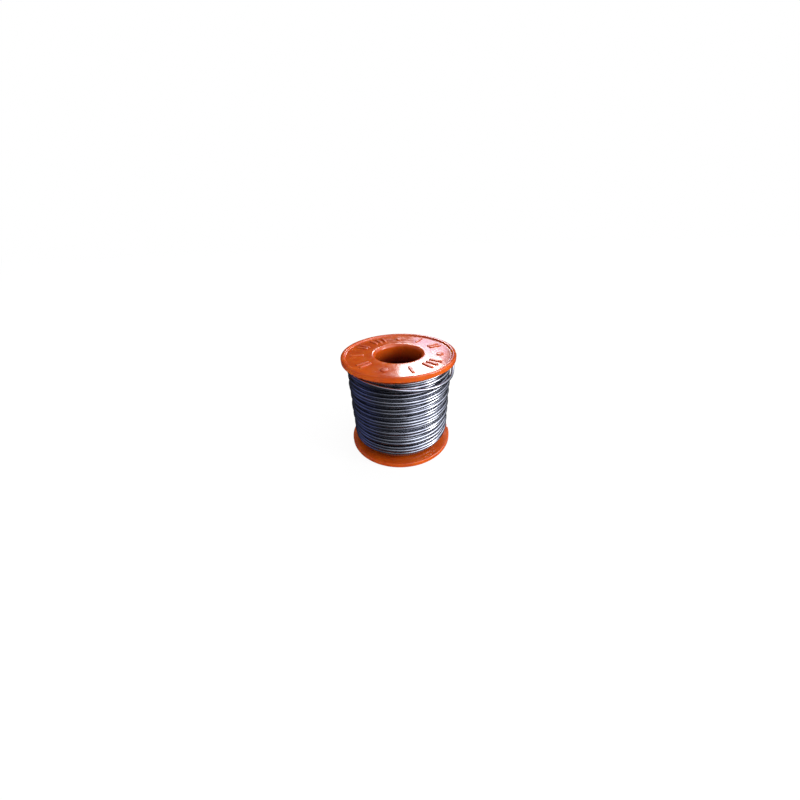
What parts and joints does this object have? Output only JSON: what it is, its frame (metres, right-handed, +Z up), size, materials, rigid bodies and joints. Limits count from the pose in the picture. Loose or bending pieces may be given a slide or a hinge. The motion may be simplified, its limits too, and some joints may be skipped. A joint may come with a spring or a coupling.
{
  "type": "solder wire spool",
  "caption": "Round spool with two flanges and a core tube, wound full of solder wire, with the wire's free end held in a notch in the upper rim.",
  "frame": {"origin": "centre of the lower flange's rim, on the plane that the spool stands on", "axes": "+Z up along the spool's axis, from the lower flange to the upper one; +X towards the notch that holds the wire's free end, within 4 degrees"},
  "size_m": [0.06, 0.06, 0.055],
  "materials": {
    "orange_plastic": "glossy moulded polystyrene, orange, slightly translucent",
    "solder": "bright drawn tin-lead solder with light blue-grey oxide"
  },
  "bodies": {
    "root": {"upper_flange": "orange_plastic", "lower_flange": "orange_plastic", "core_tube": "orange_plastic", "wire_layer_01": "solder", "wire_layer_02": "solder", "wire_layer_03": "solder", "wire_layer_04": "solder", "wire_layer_05": "solder", "wire_layer_06": "solder", "wire_layer_07": "solder", "wire_layer_08": "solder", "wire_layer_09": "solder", "wire_start_end": "solder", "wire_free_end": "solder"}
  },
  "joints": []
}
